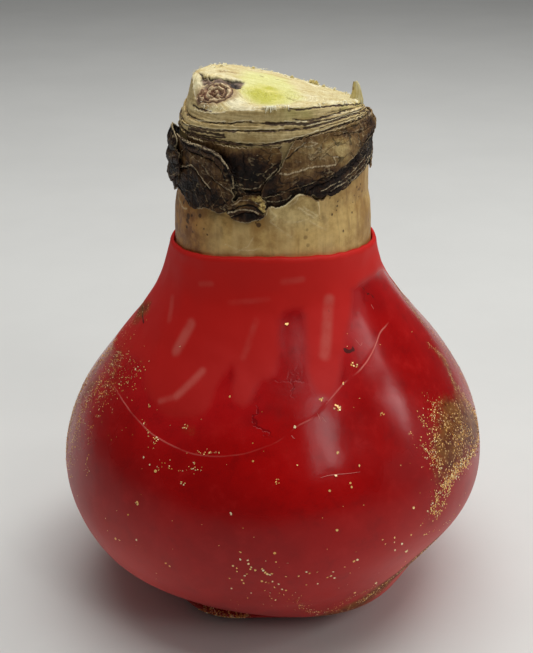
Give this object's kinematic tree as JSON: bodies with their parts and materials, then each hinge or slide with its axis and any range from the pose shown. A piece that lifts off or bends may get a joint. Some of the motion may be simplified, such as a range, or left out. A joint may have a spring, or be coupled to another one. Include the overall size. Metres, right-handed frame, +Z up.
{
  "type": "waxed amaryllis bulb",
  "caption": "Round flower bulb dipped in red wax, standing on a flat wax foot, with a bare cut neck wrapped in torn papery skins.",
  "frame": {"origin": "middle of the flat wax foot, on the surface that the bulb stands on", "axes": "+Z up along the neck; the side with the pale flap of skin and the scale edge in the wax faces -Y"},
  "size_m": [0.0914, 0.0913, 0.1127],
  "materials": {
    "red_wax": "glossy dipped wax with gold flakes",
    "bulb_flesh": "matte, fibrous where cut",
    "green_shoot": "moist cut flesh",
    "withered_stalk": "dry and wrinkled",
    "pale_skin": "papery, streaked along its length",
    "dark_skin": "papery, dry and brittle"
  },
  "bodies": {
    "root": {"wax_coat": "red_wax", "bulb": "bulb_flesh", "green_shoot": "green_shoot", "old_flower_stalk": "withered_stalk", "pale_skin": "pale_skin", "dark_skin_front": "dark_skin", "dark_skin_strip": "dark_skin", "dark_skin_right": "dark_skin", "dark_skin_tongue": "dark_skin", "dark_skin_left": "dark_skin", "dark_skin_flakes": "dark_skin", "dark_skin_back_right": "dark_skin", "dark_skin_back_left": "dark_skin"}
  },
  "joints": []
}
